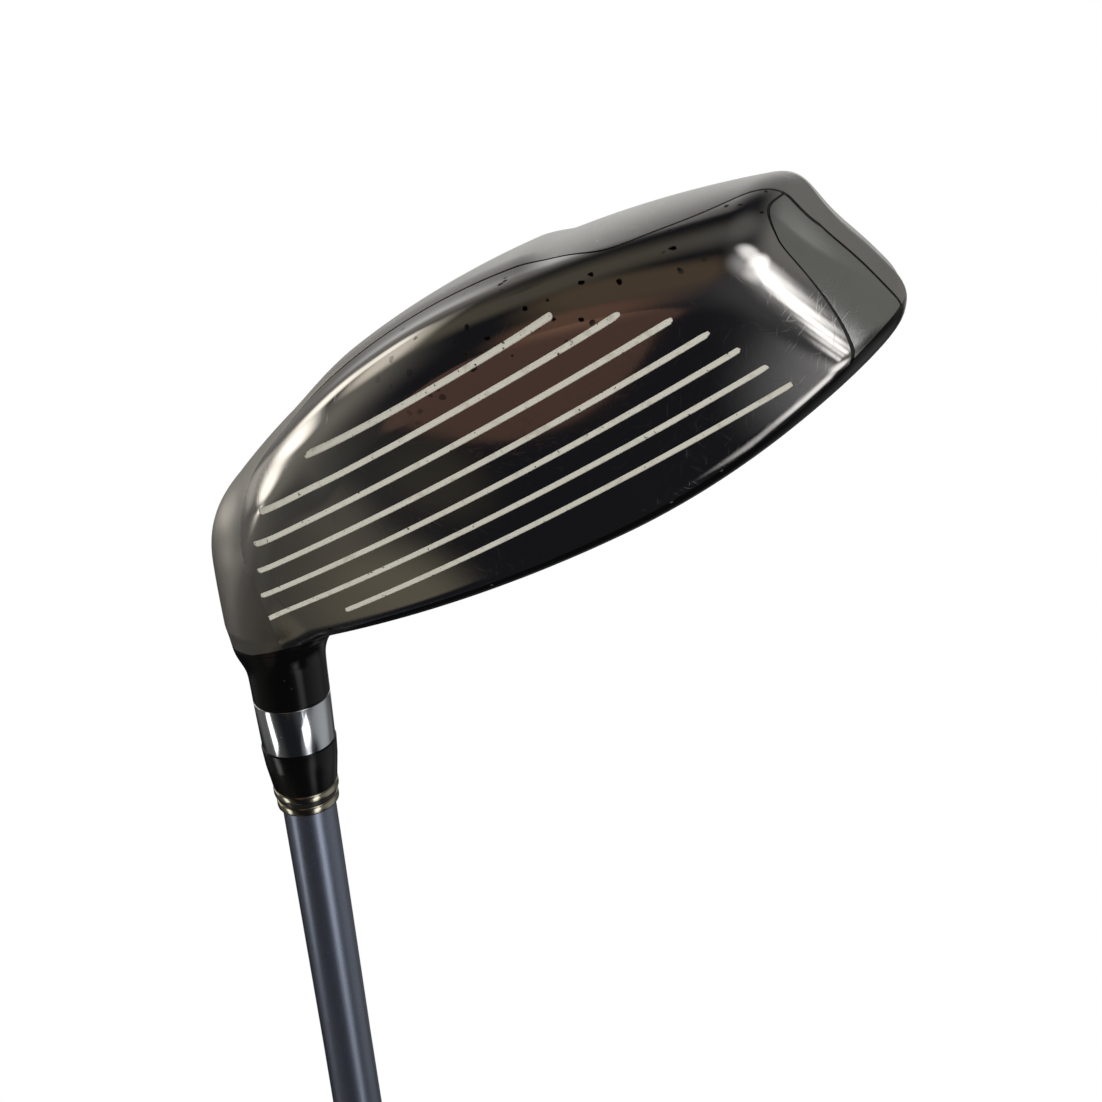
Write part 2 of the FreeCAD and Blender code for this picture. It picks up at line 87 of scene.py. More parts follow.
# The toe wall, which leans out, turns in towards the face and is hollowed at mid height.
TOE_WALL_X = -83.8
TOE_LEAN = 0.3
TOE_TURN = 0.36
TOE_TURN_Y = 7.0
TOE_HOLLOW_DEPTH = 0.7
TOE_HOLLOW_Z = 16.0
TOE_HOLLOW_HALF = 5.0
TOE_HOLLOW_Y = (-9.0, 2.0)

# The flat that cuts the heel between face and neck.
HEEL_POINT = np.array([4.9, -13.5, 17.4])
HEEL_OUT = np.array([0.628, -0.721, -0.292])

# The crown: a dome that falls faster towards the toe than towards the heel.
CROWN_TOP_Z = 40.2
CROWN_TOP_X = -42.0
CROWN_TOP_Y = 6.0
CROWN_BEND_TOE = 217.0
CROWN_BEND_HEEL = 462.0
CROWN_BEND_BACK = 128.0
CROWN_SLOPE_TOE = 108.0
CROWN_SLOPE_HEEL = 231.0

# The neck: a slim cone about the shaft axis, flared where it leaves the head.
NECK_RADIUS = 6.05
NECK_FLARE = 1.2
NECK_FLARE_LENGTH = 4.0
NECK_FROM = 33.0
NECK_FOOT = 14.5
NECK_BORE = 4.6
NECK_CUT = 36.2
STUB_TOP = 37.4
LONG_CAP = 60.0
COLLAR_REACH = 9.3
NECK_TOP = 46.7

# The head's skin is meshed along rays from HEAD_CENTRE, spread as HEAD_SPREAD is long.
HEAD_CENTRE = np.array([-23.0, 4.0, 14.0])
HEAD_SPREAD = np.array([56.0, 33.0, 21.0])
HEAD_CELLS = (240, 130, 92)


# ---------------------------------------------------------------- the head as a field
# Each field is negative inside and close to a distance in millimetres.
def smooth_max(a, b, blend):
    """The greater of two fields, with the edge between them rounded."""
    near = np.maximum(blend - np.abs(a - b), 0)
    return np.maximum(a, b) + near * near / (4 * blend)


def smooth_min(a, b, blend):
    return -smooth_max(-a, -b, blend)


def ramp(value, low, high):
    """0 up to low, 1 from high on, smooth between."""
    t = np.clip((value - low) / (high - low), 0, 1)
    return t * t * (3 - 2 * t)


def falling(value, low, high):
    """1 up to low, 0 from high on."""
    return ramp(-value, -high, -low)


def face_height(p):
    return (p - FACE_FOOT) @ FACE_UP


def face_field(p):
    return np.linalg.norm(p - FACE_BALL_CENTRE, axis=1) - FACE_RADIUS


def sole_field(p):
    x, y, z = p.T
    along = x - SOLE_LOW_X
    across = y - SOLE_LOW_Y
    ends = np.clip(np.abs(x - SOLE_FORE_CENTRE_X) / SOLE_FORE_REACH, 0, 1.5)
    fore = (SOLE_FORE_MIDDLE + SOLE_FORE_ENDS * ends**2) * np.minimum(across, 0) ** 2
    aft = SOLE_AFT * np.maximum(across, 0) ** 2
    keel = (
        ramp(x, *KEEL_TOE_X) * falling(x, *KEEL_HEEL_X)
        * ramp(y, *KEEL_FRONT_Y) * falling(y, *KEEL_BACK_Y)
    )
    level = along**2 / SOLE_BEND + fore + aft + SOLE_BED - KEEL_DEPTH * keel
    return (level - z) / np.sqrt(1 + (2 * along / SOLE_BEND) ** 2 + (0.02 * across) ** 2)


def back_field(p):
    x, y, z = p.T
    raised = z - BACK_LEVEL
    toe_half = BACK_TOE[0] + BACK_TOE[1] * raised
    heel_half = BACK_HEEL[0] + BACK_HEEL[1] * raised
    a = np.where(x < BACK_CENTRE_X, toe_half, heel_half)
    b = BACK_DEPTH[0] + BACK_DEPTH[1] * raised
    u = (x - BACK_CENTRE_X) / a
    v = (y - BACK_CENTRE_Y) / b
    q = np.sqrt(u * u + v * v)
    return (q - 1) * q / np.sqrt((u / a) ** 2 + (v / b) ** 2 + 1e-9)


def toe_field(p):
    x, y, z = p.T
    wall = TOE_WALL_X - TOE_LEAN * (z - BACK_LEVEL) + TOE_TURN * np.maximum(TOE_TURN_Y - y, 0)
    middle = np.exp(-(((z - TOE_HOLLOW_Z) / TOE_HOLLOW_HALF) ** 2))
    hollow = TOE_HOLLOW_DEPTH * middle * ramp(y, *TOE_HOLLOW_Y)
    return (wall + hollow - x) / 1.1


def heel_field(p):
    return (p - HEEL_POINT) @ HEEL_OUT


def crown_field(p):
    x, y, z = p.T
    along = x - CROWN_TOP_X
    across = y - CROWN_TOP_Y
    bend = np.where(along < 0, CROWN_BEND_TOE, CROWN_BEND_HEEL)
    level = CROWN_TOP_Z - along**2 / bend - across**2 / CROWN_BEND_BACK
    slope = along / np.where(along < 0, CROWN_SLOPE_TOE, CROWN_SLOPE_HEEL)
    return (z - level) / np.sqrt(1 + slope**2 + (2 * across / CROWN_BEND_BACK) ** 2)


def neck_radius(station):
    """Millimetres from the shaft axis to the paint of the neck."""
    return NECK_RADIUS + NECK_FLARE * np.exp(-(station - NECK_FROM) / NECK_FLARE_LENGTH)


def about_axis(p):
    """How far up the shaft axis each point is, and how far from it."""
    station = p @ SHAFT_AXIS
    radial = np.linalg.norm(p - station[:, None] * SHAFT_AXIS, axis=1)
    return station, radial


def neck_field(p, cap):
    """The neck from its rounded foot inside the head up to the station called cap."""
    station, radial = about_axis(p)
    side = radial - (neck_radius(np.clip(station, NECK_FROM, LONG_CAP)) - 0.04)
    return np.maximum(smooth_max(side, NECK_FOOT - station, 9.0), station - cap)


def head_field(p, cap=STUB_TOP):
    """The whole head: each wall is joined to the rest with an edge rounded by its last number."""
    front = face_field(p)
    body = smooth_max(back_field(p), sole_field(p), 3.0 + 6.0 * ramp(p[:, 0], -80, -55))
    body = smooth_max(body, toe_field(p), 2.5)
    body = smooth_max(body, heel_field(p), 6.5)
    tight = ramp(p[:, 0], -14, -2) * ramp(p[:, 2], 8, 13)
    body = smooth_max(body, front, 7.5 - 4.5 * tight)
    body = smooth_max(body, crown_field(p), 2.4 + 3.0 * ramp(-front, 4, 16))
    return smooth_min(body, neck_field(p, cap), 5.0)


def gradient(field, p, step=0.02):
    """Slope of a field at each point, by central differences."""
    slopes = np.zeros_like(p)
    for axis in range(3):
        shift = np.zeros(3)
        shift[axis] = step
        slopes[:, axis] = (field(p + shift) - field(p - shift)) / (2 * step)
    return slopes


def unit(vectors):
    """Each vector at length one."""
    return vectors / np.maximum(np.linalg.norm(vectors, axis=1, keepdims=True), 1e-12)


def long_neck_field(p):
    """The head with its whole neck."""
    return head_field(p, LONG_CAP)


# ---------------------------------------------------------------- regions on the skin
PAINT_LAP = 1.1
PAINT_FROM = 36.0
PAINT_REACH = 10.5
PANEL_FRONT_Y = -8.2
PANEL_FOOT_Z = 11.0
PANEL_BEND = 6.0
PANEL_X = -70.0


def paint_region(p):
    """Positive where the black crown paint covers the head."""
    x, y, z = p.T
    station, radial = about_axis(p)
    at_heel = -1.3 * ramp(x, -5, 10)
    at_back = 3.0 * ramp(y, 4, 34)
    at_toe = 0.5 * ramp(-x, 70, 84)
    lap = PAINT_LAP + at_heel + at_back + at_toe
    collar = np.minimum(station - PAINT_FROM, PAINT_REACH - radial)
    return np.maximum(crown_field(p) + lap, collar)


def seam_line(x):
    """How far back the joint between the face cup and the shell runs."""
    toe = np.clip((-62 - x) / 19, 0, 1) ** 1.6
    dip = np.exp(-(((x + 59) / 4.0) ** 2))
    heel = 2.2 * ramp(x, -2, 6)
    return -9.4 + 11.8 * toe - 1.7 * dip - heel


def shell_region(p):
    """Positive behind the face cup."""
    x, y, z = p.T
    beside_face = np.maximum(-face_field(p) - 1.0, x - 5 - 0.5 * (z - 17))
    return np.minimum(y - seam_line(x), beside_face)


def seam_half(p):
    """Half the joint's width, which runs out towards the heel."""
    return 0.24 * ramp(-p[:, 0], 4, 24) - 0.03


def seam_back(p):
    return shell_region(p) - seam_half(p)


def seam_front(p):
    return shell_region(p) + seam_half(p)


def panel_region(p):
    """Positive on the sunk panel at the toe end of the cup."""
    x, y, z = p.T
    front = PANEL_FRONT_Y + 0.16 * np.maximum(z - 15, 0) - y
    foot = PANEL_FOOT_Z - z
    return np.minimum(-smooth_max(front, foot, PANEL_BEND), PANEL_X - x)


SCORE_FIRST = 5.5
SCORE_PITCH = 3.84
SCORE_ENDS = [
    (-14.4, -51.5), (-3.0, -58.2), (1.6, -62.9), (4.5, -65.6),
    (7.7, -67.7), (10.2, -69.4), (-1.9, -70.8),
]
SCORE_HALF_WIDTH = 0.42
FAR_OUTSIDE = -9.0


def score_region(p):
    """Positive inside any of the seven score lines of the face."""
    height = face_height(p)
    best = np.full(len(p), FAR_OUTSIDE)
    for row, (heel, toe) in enumerate(SCORE_ENDS):
        along = np.maximum(np.maximum(toe - p[:, 0], p[:, 0] - heel), 0)
        reach = np.hypot(along, height - SCORE_FIRST - SCORE_PITCH * row)
        best = np.maximum(best, SCORE_HALF_WIDTH - reach)
    return np.where(face_field(p) > -1.5, best, FAR_OUTSIDE)


# ---------------------------------------------------------------- mesh tools
def last_inside(field_at, count, low, high, steps):
    """For each of count rays, the greatest reach at which field_at is still negative."""
    near = np.full(count, low)
    far = np.full(count, high)
    for _ in range(steps):
        middle = (near + far) / 2
        outside = field_at(middle) > 0
        far = np.where(outside, middle, far)
        near = np.where(outside, near, middle)
    return near


def head_skin():
    """The head's outer surface, found along rays from a point inside it."""
    nodes = []
    faces = []
    counts = HEAD_CELLS
    start = 0
    for axis in range(3):
        first, second = [k for k in range(3) if k != axis]
        grid_a = np.tan(np.linspace(-1, 1, counts[first] + 1) * math.pi / 4)
        grid_b = np.tan(np.linspace(-1, 1, counts[second] + 1) * math.pi / 4)
        a, b = np.meshgrid(grid_a, grid_b, indexing="ij")
        for end in (-1, 1):
            cube = np.zeros((a.size, 3))
            cube[:, axis] = end
            cube[:, first] = a.ravel()
            cube[:, second] = b.ravel()
            nodes.append(cube)
            index = np.arange(a.size).reshape(a.shape) + start
            start += a.size
            quad = np.stack(
                [index[:-1, :-1], index[1:, :-1], index[1:, 1:], index[:-1, 1:]], axis=-1
            ).reshape(-1, 4)
            outward = end * (1 if axis != 1 else -1)
            faces.append(quad if outward > 0 else quad[:, ::-1])
    cube = np.concatenate(nodes)
    quads = np.concatenate(faces)
    _, keep, merged = np.unique(np.round(cube, 6), axis=0, return_index=True, return_inverse=True)
    rays = unit(cube[keep] * HEAD_SPREAD)
    quads = merged.reshape(-1)[quads]
    reach = last_inside(
        lambda length: head_field(HEAD_CENTRE + rays * length[:, None]), len(rays), 5.0, 80.0, 40
    )
    points = HEAD_CENTRE + rays * reach[:, None]
    return points, np.concatenate([quads[:, [0, 1, 2]], quads[:, [0, 2, 3]]])


def rolled(faces, first):
    """Each triangle turned so that its given corner comes first."""
    order = (first[:, None] + np.arange(3)) % 3
    return np.take_along_axis(faces, order, axis=1)


def split(points, faces, region, level=0.0, snap=0.07):
    """Cuts triangles along region == level: (points, faces above, faces below)."""
    normals = unit(gradient(head_field, points))
    slope = gradient(region, points)
    slope -= (slope * normals).sum(1)[:, None] * normals
    size = np.maximum(np.linalg.norm(slope, axis=1), 0.05)
    value = (region(points) - level) / size
    close = np.abs(value) < snap
    points = points - np.where(close, value, 0)[:, None] * slope / size[:, None]
    side = np.where(close, 0, np.sign(value)).astype(int)
    corner = side[faces]
    low = corner.min(1)
    high = corner.max(1)
    level_faces = (low == 0) & (high == 0)
    mean = value[faces].mean(1)
    above = [faces[((low >= 0) & (high > 0)) | (level_faces & (mean > 0))]]
    below = [faces[((high <= 0) & (low < 0)) | (level_faces & (mean <= 0))]]
    crossed = faces[(low < 0) & (high > 0)]
    signs = side[crossed]
    touching = (signs == 0).any(1)
    pivot = rolled(crossed[touching], np.argmax(signs[touching] == 0, axis=1))
    lone_sign = -np.sign(signs[~touching].sum(1))
    lone = rolled(
        crossed[~touching], np.argmax(signs[~touching] == lone_sign[:, None], axis=1)
    )
    edges = np.concatenate([pivot[:, [1, 2]], lone[:, [0, 1]], lone[:, [0, 2]]])
    pairs, place = np.unique(np.sort(edges, axis=1), axis=0, return_inverse=True)
    va, vb = value[pairs[:, 0]], value[pairs[:, 1]]
    share = (va / (va - vb))[:, None]
    fresh = points[pairs[:, 0]] * (1 - share) + points[pairs[:, 1]] * share
    place = place.reshape(-1) + len(points)
    middle = place[: len(pivot)]
    near = place[len(pivot) : len(pivot) + len(lone)]
    far = place[len(pivot) + len(lone) :]
    z, u, v = pivot.T
    a, b, c = lone.T
    first_half = np.stack([z, u, middle], 1)
    second_half = np.stack([z, middle, v], 1)
    tip = np.stack([a, near, far], 1)
    base = np.concatenate([np.stack([near, b, c], 1), np.stack([near, c, far], 1)])
    u_above = side[u] > 0
    a_above = side[a] > 0
    base_above = np.concatenate([~a_above, ~a_above])
    above += [first_half[u_above], second_half[~u_above], tip[a_above], base[base_above]]
    below += [first_half[~u_above], second_half[u_above], tip[~a_above], base[~base_above]]
    return np.concatenate([points, fresh]), np.concatenate(above), np.concatenate(below)


def in_row_frame(p):
    return (p + SHAFT_FOOT) * MM


def new_object(name, points, faces, finish, normals=None):
    """A mesh object in the row frame from millimetre points, smooth unless normals say more."""
    mesh = bpy.data.meshes.new(name)
    mesh.from_pydata(in_row_frame(points).tolist(), [], faces)
    mesh.materials.append(finish)
    mesh.polygons.foreach_set("use_smooth", [True] * len(mesh.polygons))
    if normals is not None:
        mesh.normals_split_custom_set(normals)
    mesh.update()
    made = bpy.data.objects.new(name, mesh)
    bpy.context.scene.collection.objects.link(made)
    return made


def directed_border(faces):
    """Edges that only one of the triangles has, in that triangle's direction."""
    edges = np.concatenate([faces[:, [0, 1]], faces[:, [1, 2]], faces[:, [2, 0]]])
    keys = {tuple(edge) for edge in edges.tolist()}
    return [edge for edge in keys if (edge[1], edge[0]) not in keys]


def layered(name, points, levels, bottom, finish):
    """A closed piece: skin faces sunk to each level's depth, with walls and an underside."""
    normals = unit(gradient(long_neck_field, points))
    made_points = []
    made_faces = []
    made_normals = []
    copies = []
    total = 0

    def copy_of(faces, depth):
        nonlocal total
        used = np.unique(faces)
        place = {int(old): total + new for new, old in enumerate(used)}
        made_points.append(points[used] - normals[used] * depth)
        total += len(used)
        return place

    def add_faces(faces, place, sign):
        turned = faces if sign > 0 else faces[:, ::-1]
        for face in turned.tolist():
            made_faces.append([place[k] for k in face])
        made_normals.extend((normals[turned.reshape(-1)] * sign).tolist())

    for faces, depth in levels:
        place = copy_of(faces, depth)
        add_faces(faces, place, 1)
        copies.append((place, dict.fromkeys(directed_border(faces)), depth))
    whole = np.concatenate([faces for faces, _ in levels])
    under = copy_of(whole, bottom)
    add_faces(whole, under, -1)
    stacked = np.concatenate(made_points)
    for place, border, depth in copies:
        for a, b in border:
            lower = under
            for other, other_border, other_depth in copies:
                if (b, a) in other_border:
                    lower = other if other_depth > depth else None
            if lower is None:
                continue
            wall = [place[b], place[a], lower[a], lower[b]]
            corners = stacked[wall]
            facing = np.cross(corners[1] - corners[0], corners[3] - corners[0])
            facing = facing / max(np.linalg.norm(facing), 1e-9)
            made_faces.append(wall)
            made_normals.extend([facing.tolist()] * 4)
    return new_object(name, stacked, made_faces, finish, made_normals)


def on_axis(stations, radii, angles):
    """Points at the given stations, radii and angles about the shaft axis."""
    across = np.cos(angles)[:, None] * AXIS_SIDE + np.sin(angles)[:, None] * AXIS_BACK
    return stations[:, None] * SHAFT_AXIS + radii[:, None] * across


def softened(outline, size):
    """The closed outline with its corners rounded off by three short steps."""
    rounded = []
    count = len(outline)
    for index, corner in enumerate(outline):
        corner = np.array(corner, float)
        before = np.array(outline[index - 1], float) - corner
        after = np.array(outline[(index + 1) % count], float) - corner
        reach_in = min(size, 0.45 * np.linalg.norm(before))
        reach_out = min(size, 0.45 * np.linalg.norm(after))
        start = corner + before / np.linalg.norm(before) * reach_in
        end = corner + after / np.linalg.norm(after) * reach_out
        for t in (0.0, 0.33, 0.67, 1.0):
            rounded.append((1 - t) ** 2 * start + 2 * t * (1 - t) * corner + t**2 * end)
    return np.array(rounded)


def ring_faces(rows, segments):
    """Quads round a closed loop of rows, each row a closed ring of segments points."""
    faces = []
    for row in range(rows):
        below = row * segments
        over = (row + 1) % rows * segments
        for step in range(segments):
            after = (step + 1) % segments
            faces.append([below + step, over + step, over + after, below + after])
    return faces


def lathe(name, outline, finish, segments=128, soften=0.12):
    """A closed turned piece about the shaft axis from (station, radius) corners."""
    loop = softened(outline, soften) if soften else np.array(outline, float)
    angles = np.linspace(0, 2 * math.pi, segments, endpoint=False)
    stations = np.repeat(loop[:, 0], segments)
    radii = np.repeat(loop[:, 1], segments)
    points = on_axis(stations, radii, np.tile(angles, len(loop)))
    made = new_object(name, points, ring_faces(len(loop), segments), finish)
    made.data.set_sharp_from_angle(angle=math.radians(50))
    return made


def settle(piece, slot, *nodes):
    """The piece rides on the club and stands for its CAD nodes; slot is not used."""
    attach(piece, "root")
    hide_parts(*nodes)


# ---------------------------------------------------------------- node helpers
class Nodes:
    """Short calls for building a node tree."""

    def __init__(self, tree):
        self.tree = tree

    def add(self, kind, inputs=None, **settings):
        node = self.tree.nodes.new(kind)
        for key, value in settings.items():
            setattr(node, key, value)
        for key, value in (inputs or {}).items():
            self.put(node.inputs[key], value)
        return node

    def put(self, socket, value):
        if isinstance(value, bpy.types.NodeSocket):
            self.tree.links.new(value, socket)
        else:
            socket.default_value = value

    def math(self, operation, a, b=0.0):
        return self.add("ShaderNodeMath", {0: a, 1: b}, operation=operation).outputs[0]

    def step(self, value, low, high, at_low=0.0, at_high=1.0):
        """A smooth step of value from low to high."""
        node = self.add(
            "ShaderNodeMapRange",
            {0: value, 1: low, 2: high, 3: at_low, 4: at_high},
            interpolation_type="SMOOTHSTEP",
        )
        return node.outputs[0]

    def blend(self, share, a, b):
        node = self.add("ShaderNodeMix", data_type="RGBA")
        self.put(node.inputs[0], share)
        self.put(node.inputs[6], a)
        self.put(node.inputs[7], b)
        return node.outputs[2]

    def place(self):
        return self.add("ShaderNodeTexCoord").outputs["Object"]

    def turned(self, vector, angles, scale):
        """The vector turned by the angles and then stretched along its new axes."""
        cells = tuple(1.0 / along for along in scale)
        node = self.add(
            "ShaderNodeMapping",
            {"Vector": vector, "Rotation": angles, "Scale": cells},
            vector_type="TEXTURE",
        )
        return node.outputs[0]

    def noise(self, vector, scale, detail=3.0, rough=0.5):
        node = self.add(
            "ShaderNodeTexNoise",
            {"Vector": vector, "Scale": scale, "Detail": detail, "Roughness": rough},
        )
        return node.outputs[0]

    def spots(self, vector, scale):
        """The distance to the nearest of many scattered points."""
        node = self.add(
            "ShaderNodeTexVoronoi", {"Vector": vector, "Scale": scale}, feature="F1"
        )
        return node.outputs[0]

    def warped(self, vector, amount):
        """The vector pushed about by noise, so that round spots turn ragged."""
        node = self.add("ShaderNodeTexNoise", {"Vector": vector, "Scale": 900.0, "Detail": 2.0})
        push = self.add(
            "ShaderNodeVectorMath", {0: node.outputs[1], 1: (amount,) * 3}, operation="MULTIPLY"
        )
        both = self.add("ShaderNodeVectorMath", {0: vector, 1: push.outputs[0]})
        return both.outputs[0]

    def bump(self, height, distance, strength=1.0):
        node = self.add(
            "ShaderNodeBump", {"Height": height, "Distance": distance, "Strength": strength}
        )
        return node.outputs[0]


def grey(value, warm=0.0):
    return (value * (1 + warm), value, value * (1 - warm), 1.0)


def finish_named(name, build):
    """A new material whose nodes are wired by build(nodes, shader)."""
    made = bpy.data.materials.new(name)
    made.use_nodes = True
    shader = made.node_tree.nodes["Principled BSDF"]
    build(Nodes(made.node_tree), shader)
    return made


SCRATCH_LAYERS = [
    (-0.5, 260, 6500), (0.35, 420, 8200), (1.2, 330, 7300),
    (2.1, 240, 8800), (0.8, 520, 6900), (2.7, 380, 7700),
]


def scratches(n, where):
    """Thin straight marks of several lengths and directions, 0 to 1."""
    total = 0.0
    for turn, length, width in SCRATCH_LAYERS:
        grid = n.turned(where, (0.0, turn, 0.0), (length, 60.0, width))
        mark = n.step(n.noise(grid, 1.0, 1.0, 0.4), 0.7, 0.8)
        total = n.math("MAXIMUM", total, mark)
    patch = n.step(n.noise(where, 90.0, 2.0), 0.4, 0.62, 0.35, 0.75)
    return n.math("MULTIPLY", total, patch)


def specks(n, where, scale):
    """Sparse dots of dust or tiny knocks, 0 to 1."""
    dots = n.step(n.spots(where, scale), 0.13, 0.07)
    return n.math("MULTIPLY", dots, n.step(n.noise(where, scale * 0.4, 1.0), 0.55, 0.6))


def steel_mirror(n, shader):
    where = n.place()
    axes = n.add("ShaderNodeSeparateXYZ", {0: where})
    marks = scratches(n, where)
    haze = n.noise(where, 55.0, 4.0, 0.6)
    toward_heel = n.step(axes.outputs[0], 0.012, 0.044)
    rough = n.math("ADD", n.math("MULTIPLY", toward_heel, 0.12), 0.06)
    rough = n.math("ADD", rough, n.math("MULTIPLY", n.step(haze, 0.4, 0.75), 0.05))
    rough = n.math("ADD", rough, n.math("MULTIPLY", marks, 0.09))
    tint = n.blend(n.noise(where, 35.0, 3.0), (0.56, 0.54, 0.52, 1), (0.66, 0.64, 0.615, 1))
    tint = n.blend(n.math("MULTIPLY", marks, 0.2), tint, grey(0.85))
    ragged = n.warped(where, 0.0008)
    pits = n.math("MULTIPLY", n.step(n.spots(ragged, 520.0), 0.25, 0.17), pit_zone(n, where))
    # The pits are coloured almost black: painted shade inside the pits.
    tint = n.blend(pits, tint, (0.004, 0.0035, 0.003, 1))
    n.put(shader.inputs["Base Color"], tint)
    n.put(shader.inputs["Metallic"], 1.0)
    n.put(shader.inputs["Roughness"], n.math("ADD", rough, n.math("MULTIPLY", pits, 0.4)))
    streaks = n.noise(n.turned(where, (0.0, 0.15, 0.0), (2600, 40, 90)), 1.0, 2.0)
    brushed = n.math("MULTIPLY", streaks, n.step(toward_heel, 0.0, 1.0, 0.05, 0.5))
    height = n.math("SUBTRACT", brushed, n.math("MULTIPLY", marks, 0.13))
    wave = n.noise(where, 110.0, 1.0)
    height = n.math("ADD", height, n.math("MULTIPLY", wave, 0.6))
    n.put(shader.inputs["Normal"], n.bump(height, 0.00003, 0.7))


def pit_zone(n, where):
    """Where knocks have left pits: along the toe half of the leading edge."""
    axes = n.add("ShaderNodeSeparateXYZ", {0: where})
    low = n.step(axes.outputs[2], 0.0135, 0.0115)
    toeward = n.step(axes.outputs[0], 0.012, -0.012)
    some = n.step(n.noise(where, 140.0, 1.0), 0.46, 0.5)
    few = n.step(n.noise(where, 100.0, 1.0), 0.72, 0.73)
    return n.math("MAXIMUM", n.math("MULTIPLY", n.math("MULTIPLY", low, toeward), some), few)


def steel_satin(n, shader):
    where = n.place()
    marks = scratches(n, where)
    grain = n.noise(n.turned(where, (0.0, 0.1, 0.3), (700, 12000, 2500)), 1.0, 2.0)
    cloud = n.noise(where, 60.0, 4.0, 0.6)
    tint = n.blend(cloud, (0.50, 0.485, 0.46, 1), (0.62, 0.605, 0.58, 1))
    tint = n.blend(n.math("MULTIPLY", marks, 0.4), tint, grey(0.8))
    n.put(shader.inputs["Base Color"], tint)
    n.put(shader.inputs["Metallic"], 1.0)
    rough = n.math("ADD", n.math("MULTIPLY", cloud, 0.12), 0.3)
    n.put(shader.inputs["Roughness"], n.math("SUBTRACT", rough, n.math("MULTIPLY", marks, 0.1)))
    height = n.math("SUBTRACT", n.math("MULTIPLY", grain, 0.35), n.math("MULTIPLY", marks, 0.6))
    n.put(shader.inputs["Normal"], n.bump(height, 0.00003, 0.5))


def panel_steel(n, shader):
    where = n.place()
    marks = scratches(n, where)
    cloud = n.noise(where, 80.0, 4.0, 0.6)
    tint = n.blend(cloud, (0.47, 0.475, 0.45, 1), (0.58, 0.585, 0.56, 1))
    n.put(shader.inputs["Base Color"], tint)
    n.put(shader.inputs["Metallic"], 1.0)
    rough = n.math("ADD", n.math("MULTIPLY", cloud, 0.1), 0.17)
    n.put(shader.inputs["Roughness"], n.math("ADD", rough, n.math("MULTIPLY", marks, 0.15)))
    height = n.math("SUBTRACT", n.noise(where, 900.0, 3.0), marks)
    n.put(shader.inputs["Normal"], n.bump(height, 0.00002, 0.5))


def gloss_paint(dark, rough, speck_scale):
    """A gloss coat with dust specks and a faint orange peel."""

    def build(n, shader):
        where = n.place()
        cloud = n.noise(where, 45.0, 3.0)
        dust = specks(n, where, speck_scale)
        tint = n.blend(cloud, grey(dark), grey(dark * 1.9))
        n.put(shader.inputs["Base Color"], n.blend(n.math("MULTIPLY", dust, 0.4), tint, grey(0.2)))
        n.put(shader.inputs["Specular IOR Level"], 0.26)
        level = n.math("ADD", n.math("MULTIPLY", cloud, 0.1), rough)
        n.put(shader.inputs["Roughness"], n.math("ADD", level, n.math("MULTIPLY", dust, 0.3)))
        peel = n.math("ADD", n.noise(where, 700.0, 2.0), n.math("MULTIPLY", dust, 0.5))
        n.put(shader.inputs["Normal"], n.bump(peel, 0.00002, 0.3))

    return build


def line_paint(n, shader):
    where = n.place()
    dirt = n.step(n.noise(where, 650.0, 4.0, 0.65), 0.52, 0.7)
    flecks = n.step(n.noise(where, 1700.0, 2.0), 0.68, 0.74)
    tint = n.blend(n.noise(where, 150.0, 2.0), (0.84, 0.81, 0.67, 1), (0.95, 0.92, 0.81, 1))
    tint = n.blend(n.math("MULTIPLY", dirt, 0.35), tint, (0.42, 0.37, 0.27, 1))
    tint = n.blend(flecks, tint, (0.06, 0.05, 0.045, 1))
    n.put(shader.inputs["Base Color"], tint)
    n.put(shader.inputs["Roughness"], n.math("ADD", n.math("MULTIPLY", dirt, 0.2), 0.5))
    height = n.math("ADD", n.noise(where, 1400.0, 3.0), n.math("MULTIPLY", flecks, -1.0))
    n.put(shader.inputs["Normal"], n.bump(height, 0.00004, 0.5))


def seam_filler(n, shader):
    where = n.place()
    dust = n.step(n.noise(where, 500.0, 4.0, 0.7), 0.5, 0.75)
    n.put(shader.inputs["Base Color"], n.blend(dust, grey(0.008), grey(0.05, 0.1)))
    n.put(shader.inputs["Roughness"], n.math("ADD", n.math("MULTIPLY", dust, 0.3), 0.45))
    n.put(shader.inputs["Normal"], n.bump(n.noise(where, 1500.0, 3.0), 0.00004, 0.5))


def plated(colour, rough, grain_scale):
    """Plated or anodised metal with turned grain and a few tiny knocks."""

    def build(n, shader):
        where = n.place()
        knocks = specks(n, where, 900.0)
        turned = n.turned(where, (0.0, math.pi / 2 - LIE, 0.0), (60, 60, grain_scale))
        grain = n.noise(turned, 1.0, 3.0)
        cloud = n.noise(where, 130.0, 3.0)
        deep = tuple(channel * 0.86 for channel in colour) + (1.0,)
        n.put(shader.inputs["Base Color"], n.blend(cloud, deep, tuple(colour) + (1.0,)))
        n.put(shader.inputs["Metallic"], 1.0)
        level = n.math("ADD", n.math("MULTIPLY", cloud, 0.05), rough)
        n.put(shader.inputs["Roughness"], n.math("ADD", level, n.math("MULTIPLY", knocks, 0.3)))
        height = n.math("SUBTRACT", n.math("MULTIPLY", grain, 0.4), knocks)
        n.put(shader.inputs["Normal"], n.bump(height, 0.00001, 0.4))

    return build


